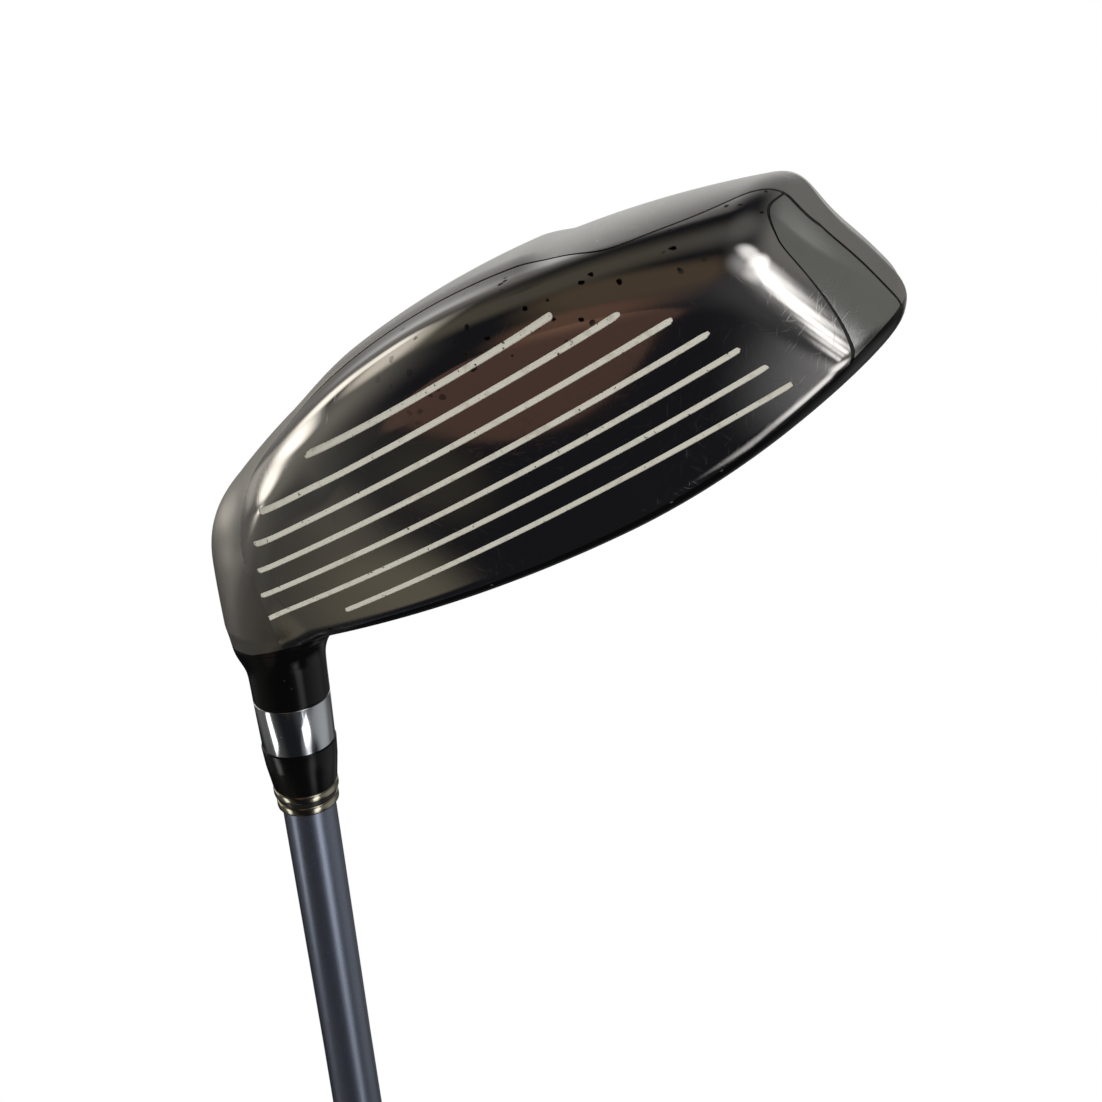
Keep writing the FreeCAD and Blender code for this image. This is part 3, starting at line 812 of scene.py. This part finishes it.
def shaft_lacquer(n, shader):
    where = n.place()
    dust = specks(n, where, 800.0)
    down_axis = n.turned(where, (0.0, math.pi / 2 - LIE, 0.0), (3500, 3500, 40))
    fibre = n.noise(down_axis, 1.0, 3.0)
    flake = n.noise(where, 5200.0, 2.0)
    tint = n.blend(fibre, (0.175, 0.20, 0.265, 1), (0.225, 0.25, 0.325, 1))
    tint = n.blend(n.step(flake, 0.6, 0.75), tint, (0.36, 0.39, 0.45, 1))
    tint = n.blend(n.math("MULTIPLY", dust, 0.3), tint, grey(0.4))
    n.put(shader.inputs["Base Color"], tint)
    n.put(shader.inputs["Metallic"], 0.86)
    n.put(shader.inputs["Roughness"], n.math("ADD", n.math("MULTIPLY", flake, 0.1), 0.28))
    n.put(shader.inputs["Coat Weight"], 0.25)
    n.put(shader.inputs["Coat Roughness"], 0.2)
    n.put(shader.inputs["Normal"], n.bump(n.math("ADD", flake, dust), 0.00002, 0.3))


def rubber(n, shader):
    where = n.place()
    cloud = n.noise(where, 30.0, 5.0, 0.65)
    grain = n.noise(where, 2600.0, 3.0)
    shine = n.step(n.noise(where, 18.0, 3.0), 0.45, 0.7)
    n.put(shader.inputs["Base Color"], n.blend(cloud, grey(0.012), grey(0.034, 0.04)))
    rough = n.math("SUBTRACT", 0.78, n.math("MULTIPLY", shine, 0.2))
    n.put(shader.inputs["Roughness"], rough)
    n.put(shader.inputs["Normal"], n.bump(grain, 0.00008, 0.6))


def rough_stuff(colour, metal, rough, scale):
    """Hidden pieces: a mottled surface of one stuff."""

    def build(n, shader):
        where = n.place()
        cloud = n.noise(where, scale, 4.0, 0.6)
        deep = tuple(channel * 0.6 for channel in colour) + (1.0,)
        n.put(shader.inputs["Base Color"], n.blend(cloud, deep, tuple(colour) + (1.0,)))
        n.put(shader.inputs["Metallic"], metal)
        n.put(shader.inputs["Roughness"], n.math("ADD", n.math("MULTIPLY", cloud, 0.2), rough))
        n.put(shader.inputs["Normal"], n.bump(n.noise(where, scale * 6, 3.0), 0.0001, 0.5))

    return build


MIRROR = finish_named("mirror_steel", steel_mirror)
SATIN = finish_named("satin_steel", steel_satin)
PANEL = finish_named("panel_steel", panel_steel)
CROWN_PAINT = finish_named("crown_gloss", gloss_paint(0.0025, 0.1, 420.0))
FERRULE = finish_named("ferrule_gloss", gloss_paint(0.0025, 0.14, 600.0))
LINE_PAINT = finish_named("score_paint", line_paint)
SEAM = finish_named("seam_filler", seam_filler)
CHROME = finish_named("band_chrome", plated((0.74, 0.77, 0.8), 0.09, 9000))
RING = finish_named("ring_champagne", plated((0.47, 0.44, 0.34), 0.15, 7000))
SPACER = finish_named("spacer_black", gloss_paint(0.01, 0.2, 900.0))
SHAFT = finish_named("shaft_lacquer", shaft_lacquer)
RUBBER = finish_named("grip_rubber", rubber)
HIDDEN = {
    "epoxy_bond": finish_named("epoxy", rough_stuff((0.55, 0.42, 0.2), 0.0, 0.3, 300.0)),
    "hosel_plug": finish_named("cork", rough_stuff((0.45, 0.3, 0.16), 0.0, 0.8, 700.0)),
    "hot_melt_pad": finish_named("hot_melt", rough_stuff((0.6, 0.5, 0.3), 0.0, 0.4, 200.0)),
    "rear_weight": finish_named("slug_metal", rough_stuff((0.4, 0.38, 0.35), 1.0, 0.4, 400.0)),
    "tip_weight": finish_named("tip_metal", rough_stuff((0.4, 0.4, 0.4), 1.0, 0.4, 500.0)),
    "grip_tape": finish_named("tape", rough_stuff((0.55, 0.5, 0.4), 0.0, 0.8, 600.0)),
}

# ---------------------------------------------------------------- the head
OUTLINE_HALF = 0.13
SHELL_WALL = 1.6
CROWN_WALL = 1.0
SCORE_DEPTH = 0.36
PAINT_SUNK = 0.07
PANEL_SUNK = 0.06
SEAM_SUNK = 0.16
SEAM_DEPTH = 0.9


def collar_region(p):
    """Positive where the neck leaves the head; the skin is cut open there."""
    station, radial = about_axis(p)
    return np.minimum(station - NECK_CUT, COLLAR_REACH - radial)


skin, skin_faces = head_skin()
skin, _, skin_faces = split(skin, skin_faces, collar_region)
skin, crown_faces, steel_faces = split(skin, skin_faces, paint_region)
skin, rear_faces, front_faces = split(skin, steel_faces, shell_region)
skin, shell_faces, seam_rear = split(skin, rear_faces, seam_back)
skin, seam_fore, front_faces = split(skin, front_faces, seam_front)
skin, panel_faces, cup_faces = split(skin, front_faces, panel_region, OUTLINE_HALF)
skin, outline_faces, cup_faces = split(skin, cup_faces, panel_region, -OUTLINE_HALF)
skin, score_faces, cup_faces = split(skin, cup_faces, score_region)

crown = layered("crown", skin, [(crown_faces, 0.0)], CROWN_WALL, CROWN_PAINT)
settle(crown, "crown_paint", "crown_plate")
shell = layered("body_shell_skin", skin, [(shell_faces, 0.0)], SHELL_WALL, SATIN)
settle(shell, "cast_steel", "body_shell")
cup_levels = [(cup_faces, 0.0), (score_faces, SCORE_DEPTH)]
cup = layered("face_cup_skin", skin, cup_levels, SHELL_WALL, MIRROR)
settle(cup, "polished_steel", "face_cup")
panel = layered("toe_panel", skin, [(panel_faces, PANEL_SUNK)], SHELL_WALL, PANEL)
settle(panel, "polished_steel", "face_cup")
seam_faces = np.concatenate([seam_rear, seam_fore, outline_faces])
seam = layered("seam_lines", skin, [(seam_faces, SEAM_SUNK)], SEAM_DEPTH, SEAM)
settle(seam, "seam_fill", "seam_paint")
paint_levels = [(score_faces, PAINT_SUNK)]
lines = layered("score_lines", skin, paint_levels, SCORE_DEPTH - 0.01, LINE_PAINT)
settle(lines, "score_paint", "score_line_paint")


# ---------------------------------------------------------------- the neck
def neck_skin(segments=160, rows=84):
    """The painted neck: the head's own field above the collar cut, as rings about the axis.

    It starts inside the head, a hair under the skin, so that the two overlap without a gap.
    """
    under = 0.06
    levels = np.linspace(NECK_CUT - 1.6, NECK_TOP - 0.25, rows)
    angles = np.linspace(0, 2 * math.pi, segments, endpoint=False)
    stations = np.repeat(levels, segments)
    turns = np.tile(angles, rows)
    reach = last_inside(
        lambda radius: long_neck_field(on_axis(stations, radius, turns)),
        stations.size, 3.0, COLLAR_REACH + under, 36,
    )
    reach = reach - under * falling(stations, NECK_CUT - 0.1, NECK_CUT + 0.05)
    top = reach[-segments:]
    rings = [(stations, reach)]
    for station_in, radius_in in ((0.09, 0.04), (0.2, 0.12), (0.25, 0.3)):
        rings.append((np.full(segments, levels[-1] + station_in), top - radius_in))
    for level in (NECK_TOP, levels[0]):
        rings.append((np.full(segments, level), np.full(segments, NECK_BORE)))
    stations = np.concatenate([ring[0] for ring in rings])
    radii = np.concatenate([ring[1] for ring in rings])
    count = stations.size // segments
    points = on_axis(stations, radii, np.tile(angles, count))
    made = new_object("neck", points, ring_faces(count, segments), CROWN_PAINT)
    made.data.set_sharp_from_angle(angle=math.radians(40))
    return made


settle(neck_skin(), "neck_paint", "hosel_neck")

# ---------------------------------------------------------------- turned pieces
BAND_TOP = 55.0
FERRULE_TOP = 62.9
LOWER_RING_TOP = 64.4
SPACER_TOP = 65.2
UPPER_RING_TOP = 66.8
TRIM_BORE = 4.4

SHAFT_TIP = 22.4
SHAFT_TOP = 1010.0
TAPER_START = 120.0
TAPER_END = 740.0
TIP_RADIUS = 4.37
BUTT_RADIUS = 7.6
SHAFT_WALL = 1.3
TIP_BORE = 2.25


def ring_outline(base, top, radius):
    """The corners of a plain ring pressed on the shaft."""
    return [(base, TRIM_BORE), (top, TRIM_BORE), (top, radius), (base, radius)]


band_outline = [(NECK_TOP, 4.55), (BAND_TOP, 4.55), (BAND_TOP, 5.85), (NECK_TOP, 6.04)]
settle(lathe("band", band_outline, CHROME), "band_chrome", "hosel_band")
collar_outline = [
    (BAND_TOP, 4.45), (FERRULE_TOP, 4.45), (FERRULE_TOP, 5.2), (58.4, 5.8), (BAND_TOP, 6.02),
]
settle(lathe("collar", collar_outline, FERRULE, soften=0.2), "ferrule_plastic", "ferrule")
lower_ring = ring_outline(FERRULE_TOP, LOWER_RING_TOP, 5.3)
settle(lathe("ring_lower", lower_ring, RING, soften=0.35), "ring_metal", "lower_trim_ring")
spacer = ring_outline(LOWER_RING_TOP, SPACER_TOP, 4.9)
settle(lathe("ring_gap", spacer, SPACER, soften=0.1), "spacer_plastic", "ring_spacer")
upper_ring = ring_outline(SPACER_TOP, UPPER_RING_TOP, 5.05)
settle(lathe("ring_upper", upper_ring, RING, soften=0.35), "ring_metal", "upper_trim_ring")


def shaft_radius(station):
    share = (station - TAPER_START) / (TAPER_END - TAPER_START)
    return TIP_RADIUS + (BUTT_RADIUS - TIP_RADIUS) * min(max(share, 0.0), 1.0)


def shaft_outline(wall_stations):
    outer = [(s, shaft_radius(s)) for s in wall_stations]
    inner = [(s, max(shaft_radius(s) - SHAFT_WALL, TIP_BORE)) for s in reversed(wall_stations)]
    return outer + inner


shaft_rows = [SHAFT_TIP] + list(np.arange(40.0, 1000.0, 20.0)) + [SHAFT_TOP]
settle(lathe("tube", shaft_outline(shaft_rows), SHAFT, soften=0), "graphite", "shaft")

# ---------------------------------------------------------------- the grip
GRIP_MOUTH = 744.0
GRIP_END = 1010.0
GRIP_LIP = 5.0
GRIP_BORE = 7.85
PATTERN_TURNS = 18
PATTERN_PITCH = 5.2
PATTERN_DEPTH = 0.35
GROOVE_EDGES = (0.78, 0.95)
PATTERN_FROM = (16, 18)
PATTERN_TO = (250, 252)
PLAIN_BANDS = [((118, 119), (130, 131)), ((60, 61), (64, 65))]
RING_GROOVES = (9.0, 12.0, 124.5, 256.0)


def grip_radius(station):
    """The sleeve's plain outside: a lip at the mouth, then a long taper to the cap."""
    body_from = GRIP_MOUTH + GRIP_LIP
    lip = 8.9 + 0.7 * ramp(station, GRIP_MOUTH + 3.5, body_from)
    body = 9.6 + 3.3 * np.clip((station - body_from) / (GRIP_END - body_from), 0, 1)
    edge = np.clip((GRIP_MOUTH + 0.8 - station) / 0.8, 0, 1)
    return np.where(station < body_from, lip, body) - 0.6 * edge**2


def grip_relief(station, angle):
    """Depth of the moulded pattern: crossed fine grooves in bands, and three plain rings."""
    along = station - GRIP_MOUTH
    wrap = angle * PATTERN_TURNS / (2 * math.pi)
    rise = along / PATTERN_PITCH
    one = np.abs((wrap + rise) % 1 - 0.5) * 2
    two = np.abs((wrap - rise) % 1 - 0.5) * 2
    lozenge = np.maximum(ramp(one, *GROOVE_EDGES), ramp(two, *GROOVE_EDGES))
    band = ramp(along, *PATTERN_FROM) * falling(along, *PATTERN_TO)
    plain = np.zeros_like(along)
    for begins, ends in PLAIN_BANDS:
        plain = np.maximum(plain, ramp(along, *begins) * falling(along, *ends))
    relief = PATTERN_DEPTH * lozenge * band * (1 - plain)
    for ring in RING_GROOVES:
        relief = relief + 0.3 * np.exp(-(((along - ring) / 0.5) ** 2))
    return relief


def grip_sleeve(segments=216, rows=560):
    """The rubber sleeve with its moulded pattern cut into the mesh."""
    rounded_lip = GRIP_MOUTH + np.array([0.0, 0.2, 0.5, 0.8])
    levels = np.concatenate([rounded_lip, np.linspace(GRIP_MOUTH + 1.2, GRIP_END, rows)])
    angles = np.linspace(0, 2 * math.pi, segments, endpoint=False)
    stations = np.repeat(levels, segments)
    turns = np.tile(angles, len(levels))
    radii = grip_radius(stations) - grip_relief(stations, turns)
    for level, radius in ((GRIP_END, GRIP_BORE), (750.0, GRIP_BORE), (GRIP_MOUTH, 7.7)):
        stations = np.concatenate([stations, np.full(segments, level)])
        radii = np.concatenate([radii, np.full(segments, radius)])
    count = stations.size // segments
    points = on_axis(stations, radii, np.tile(angles, count))
    made = new_object("grip_sleeve", points, ring_faces(count, segments), RUBBER)
    made.data.set_sharp_from_angle(angle=math.radians(60))
    return made


settle(grip_sleeve(), "grip_rubber", "grip")
cap_outline = [
    (1002.0, 5.0), (1002.0, 6.3), (1010.0, 6.3), (1010.0, 13.1), (1010.6, 13.5),
    (1014.4, 13.5), (1016.0, 11.9), (1016.0, 7.0), (1015.5, 6.6), (1015.5, 2.4),
    (1016.0, 2.0), (1016.0, 1.6), (1010.0, 1.6), (1010.0, 5.0),
]
settle(lathe("grip_end", cap_outline, RUBBER, soften=0.5), "grip_rubber", "grip_cap")

for node, finish in HIDDEN.items():
    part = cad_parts[node]
    part.data.materials.clear()
    part.data.materials.append(finish)

# ---------------------------------------------------------------- the surroundings
DEG = math.pi / 180
# Soft light seen in the reflections: azimuth from the front towards +X, elevation,
# half width, half height, softness (share of the size) and colour.
LIGHT_PATCHES = [
    (-3, 2, 11, 17, 0.6, (0.13, 0.074, 0.053)),
    (36.5, 39.5, 5, 5, 0.6, (0.035, 0.034, 0.028)),
    (50, 34, 5, 4, 0.6, (0.1, 0.09, 0.078)),
    (-20, -27, 18, 35, 0.5, (0.09, 0.067, 0.045)),
    (0, -84, 180, 24, 0.5, (0.09, 0.08, 0.062)),
    (-32, 30, 17, 26, 0.8, (0.06, 0.06, 0.064)),
    (-56, 15, 14, 34, 0.9, (0.25, 0.25, 0.25)),
    (-47, 2, 8, 18, 0.9, (0.45, 0.45, 0.45)),
    (-61, -12, 8, 17, 0.6, (1.3, 1.3, 1.3)),
    (-63, 3, 12, 9, 0.6, (2.0, 2.0, 2.0)),
    (-50, 12, 8, 8, 0.7, (1.0, 1.0, 1.0)),
    (-60, 12, 9, 7, 0.5, (2.0, 2.0, 2.0)),
    (-57, 20, 5, 7, 0.5, (2.2, 2.2, 2.2)),
    (-52, 29, 3, 5, 0.5, (2.2, 2.2, 2.2)),
    (-47.5, 35.5, 2.4, 4, 0.6, (2.2, 2.2, 2.2)),
    (-43, 39, 2, 3, 0.7, (1.5, 1.5, 1.5)),
    (-38, 43.5, 2.2, 2.6, 0.8, (1.4, 1.4, 1.4)),
    (-40, 56, 16, 7, 0.5, (1.4, 1.4, 1.4)),
    (-24, 68, 14, 8, 0.7, (1.3, 1.3, 1.3)),
    (-2, 76, 14, 8, 0.8, (0.55, 0.55, 0.55)),
    (-22, 55, 13, 6, 0.9, (0.26, 0.26, 0.27)),
    (-110, 56, 55, 10, 0.5, (0.28, 0.28, 0.28)),
    (-98, -48, 34, 18, 0.7, (0.12, 0.12, 0.115)),
    (60, 43, 12, 8, 0.4, (0.14, 0.127, 0.096)),
    (62, 14, 22, 22, 0.8, (0.095, 0.092, 0.082)),
    (90, 1, 14, 8, 0.6, (0.1, 0.1, 0.1)),
    (83, -18, 6, 8, 0.6, (2.0, 1.92, 1.75)),
    (100, -35, 20, 7, 0.5, (2.0, 1.92, 1.75)),
    (122, -21, 7, 6, 0.7, (0.5, 0.48, 0.44)),
    (126, -39, 10, 9, 0.6, (1.6, 1.54, 1.4)),
    (132, -51, 10, 8, 0.6, (1.4, 1.35, 1.22)),
    (102, -60, 36, 10, 0.6, (0.8, 0.75, 0.65)),
    (70, -32, 30, 28, 0.9, (0.2, 0.19, 0.17)),
    (112, -12, 20, 12, 0.8, (0.13, 0.125, 0.12)),
    (176, -12, 27, 26, 0.7, (0.95, 0.95, 0.94)),
    (158, -32, 30, 22, 0.8, (0.2, 0.19, 0.175)),
    (-112, 0, 42, 26, 0.6, (0.2, 0.2, 0.188)),
    (-165, -8, 18, 20, 0.6, (0.5, 0.5, 0.49)),
    (-132, 54, 36, 20, 0.8, (0.4, 0.4, 0.4)),
    (175, 38, 30, 8, 0.7, (0.15, 0.15, 0.15)),
]
ROOM_COLOUR = (0.012, 0.0125, 0.015, 1.0)
FLOOR_HALF = 14.0
FLOOR_Z = -0.9


def build_world():
    """Patches of light on a dark surround for reflections, and plain white for the camera."""
    world = bpy.data.worlds.new("studio")
    bpy.context.scene.world = world
    world.use_nodes = True
    tree = world.node_tree
    tree.nodes.clear()
    n = Nodes(tree)
    direction = n.add("ShaderNodeTexCoord").outputs["Generated"]
    axes = n.add("ShaderNodeSeparateXYZ", {0: direction})
    x, y, z = axes.outputs[0], axes.outputs[1], axes.outputs[2]
    azimuth = n.math("DIVIDE", n.math("ARCTAN2", x, n.math("MULTIPLY", y, -1.0)), DEG)
    elevation = n.math("DIVIDE", n.math("ARCSINE", z), DEG)
    total = ROOM_COLOUR
    for turn, rise, wide, high, soft, colour in LIGHT_PATCHES:
        apart = n.math("WRAP", n.math("SUBTRACT", azimuth, float(turn)), 180.0)
        apart.node.inputs[2].default_value = -180.0
        across = n.math("DIVIDE", apart, float(wide))
        up = n.math("DIVIDE", n.math("SUBTRACT", elevation, float(rise)), float(high))
        squares = n.math("ADD", n.math("MULTIPLY", across, across), n.math("MULTIPLY", up, up))
        mask = n.step(n.math("SQRT", squares), 1 + soft, 1 - soft)
        node = n.add("ShaderNodeMix", data_type="RGBA", blend_type="LIGHTEN")
        n.put(node.inputs[0], mask)
        n.put(node.inputs[6], total)
        n.put(node.inputs[7], tuple(colour) + (1.0,))
        total = node.outputs[2]
    room = n.add("ShaderNodeBackground", {"Color": total, "Strength": 1.0})
    backdrop = n.add("ShaderNodeBackground", {"Color": (1, 1, 1, 1), "Strength": 1.0})
    seen = n.add("ShaderNodeLightPath").outputs["Is Camera Ray"]
    both = n.add("ShaderNodeMixShader", {0: seen, 1: room.outputs[0], 2: backdrop.outputs[0]})
    out = n.add("ShaderNodeOutputWorld")
    tree.links.new(both.outputs[0], out.inputs["Surface"])


build_world()


def floor_finish(n, shader):
    where = n.place()
    tone = n.noise(where, 2.0, 3.0)
    n.put(shader.inputs["Base Color"], n.blend(tone, grey(0.9), grey(0.93)))
    n.put(shader.inputs["Roughness"], 0.9)
    seen = n.add("ShaderNodeLightPath").outputs["Is Camera Ray"]
    n.put(shader.inputs["Emission Color"], (1, 1, 1, 1))
    n.put(shader.inputs["Emission Strength"], n.math("MULTIPLY", seen, 0.9))


def build_floor():
    """A plain white floor far below the club."""
    signs = ((-1, -1), (1, -1), (1, 1), (-1, 1))
    corners = [(x * FLOOR_HALF, y * FLOOR_HALF, FLOOR_Z) for x, y in signs]
    mesh = bpy.data.meshes.new("floor")
    mesh.from_pydata(corners, [], [(0, 1, 2, 3)])
    mesh.materials.append(finish_named("floor_white", floor_finish))
    made = bpy.data.objects.new("floor", mesh)
    bpy.context.scene.collection.objects.link(made)
    made.visible_glossy = False


build_floor()


def area_light(name, place, target, size, power, colour=(1.0, 1.0, 1.0)):
    data = bpy.data.lights.new(name, "AREA")
    data.shape = "RECTANGLE"
    data.size, data.size_y = size
    data.energy = power
    data.color = colour
    made = bpy.data.objects.new(name, data)
    made.location = place
    aim = Vector(target) - Vector(place)
    made.rotation_euler = aim.to_track_quat("-Z", "Y").to_euler()
    made.visible_camera = False
    made.visible_glossy = False
    bpy.context.scene.collection.objects.link(made)
    return made


def light_only(light, names):
    """The light falls on, and shows in, the named pieces alone."""
    lit = bpy.data.collections.new(light.name + "_lit")
    for name in names:
        lit.objects.link(bpy.data.objects[name])
    light.light_linking.receiver_collection = lit
    light.visible_glossy = True


MIDDLE = (0, 0, 0.3)
area_light("key", (-1.6, -1.4, 1.7), MIDDLE, (1.6, 1.6), 26.0)
area_light("fill", (1.9, -1.2, 0.9), MIDDLE, (1.4, 1.8), 14.0)
area_light("rim", (0.4, 2.0, 1.5), MIDDLE, (1.8, 1.2), 18.0)

# Two strips that only the trims and the shaft see, for the long streaks down them.
TRIMS = ["band", "ring_lower", "ring_gap", "ring_upper", "tube"]
TRIMS_MIDDLE = (0.059, 0.0, 0.045)
strip = area_light("strip", (0.725, -0.43, 0.143), TRIMS_MIDDLE, (0.2, 0.26), 0.34)
light_only(strip, TRIMS + ["collar"])
high = area_light("high_strip", (-0.243, -0.388, 0.675), TRIMS_MIDDLE, (0.26, 0.17), 0.27)
light_only(high, TRIMS)

# A warm disc that only the head sees: the reddish patch in the middle of the face.
face_middle = Vector((-0.02, -0.015, 0.018))
disc_turn = 13.5 * DEG
disc_rise = 25 * DEG
toward_disc = Vector(
    (
        math.sin(disc_turn) * math.cos(disc_rise),
        -math.cos(disc_turn) * math.cos(disc_rise),
        math.sin(disc_rise),
    )
)
disc = area_light(
    "disc", face_middle + toward_disc, face_middle, (0.71, 0.73), 0.105, (1.0, 0.52, 0.36)
)
disc.data.shape = "ELLIPSE"
light_only(disc, ["face_cup_skin", "toe_panel", "body_shell_skin", "crown"])

# ---------------------------------------------------------------- the camera
camera_data = bpy.data.cameras.new("camera")
camera = bpy.data.objects.new("camera", camera_data)
bpy.context.scene.collection.objects.link(camera)
RIGHT = Vector((-0.8393, 0.2245, 0.4952))
DOWN = Vector((0.3881, -0.3906, 0.8348))
FORWARD = Vector((0.3809, 0.8928, 0.2407))
turn = Matrix((RIGHT, -DOWN, -FORWARD)).transposed().to_4x4()
camera.matrix_world = Matrix.Translation((-0.0548, -0.1394, 0.00419)) @ turn
camera_data.sensor_width = 36.0
camera_data.lens = 35.93
camera_data.shift_x = -0.0151
camera_data.shift_y = 0.0172
camera_data.clip_start = 0.001
camera_data.clip_end = 50.0
bpy.context.scene.camera = camera
bpy.context.scene.view_settings.view_transform = "Standard"
